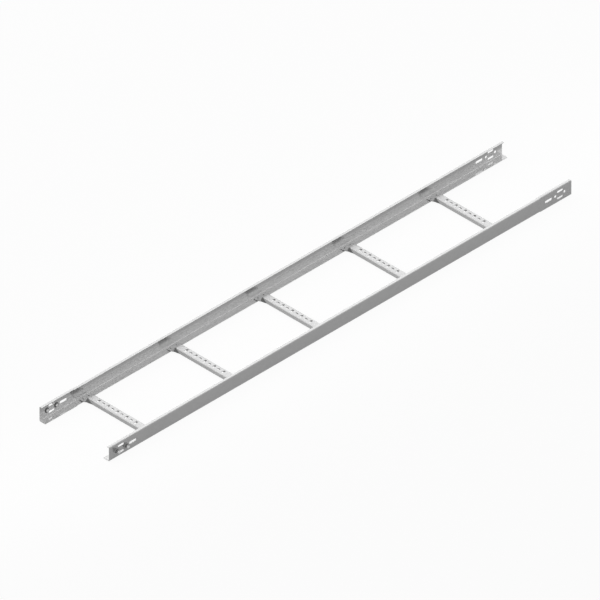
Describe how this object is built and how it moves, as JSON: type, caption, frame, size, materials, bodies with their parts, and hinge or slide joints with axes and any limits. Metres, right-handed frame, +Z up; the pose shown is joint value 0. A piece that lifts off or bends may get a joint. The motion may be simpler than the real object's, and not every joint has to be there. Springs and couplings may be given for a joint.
{
  "type": "straight ladder cable tray section",
  "caption": "Straight ladder cable tray section of galvanised sheet steel: folded side rails with socket ends, perforated rungs clinched between them, and joint bolts at one end.",
  "frame": {"origin": "centre of the section's box on the level that it stands on", "axes": "+X along the rails from the bolted near end to the far end, +Y across the tray towards the rail at the upper left of the picture, +Z up"},
  "size_m": [1.995, 0.33, 0.0536],
  "materials": {
    "rail_steel": "galvanised, satin",
    "rung_steel": "galvanised, satin",
    "bolt_zinc": "zinc plated",
    "nut_zinc": "zinc plated"
  },
  "bodies": {
    "root": {"rail_front": "rail_steel", "rail_back": "rail_steel", "rung_1": "rung_steel", "rung_2": "rung_steel", "rung_3": "rung_steel", "rung_4": "rung_steel", "rung_5": "rung_steel", "bolt_front_1": "bolt_zinc", "bolt_front_2": "bolt_zinc", "bolt_back_1": "bolt_zinc", "bolt_back_2": "bolt_zinc", "nut_front_1": "nut_zinc", "nut_front_2": "nut_zinc", "nut_back_1": "nut_zinc", "nut_back_2": "nut_zinc"}
  },
  "joints": []
}
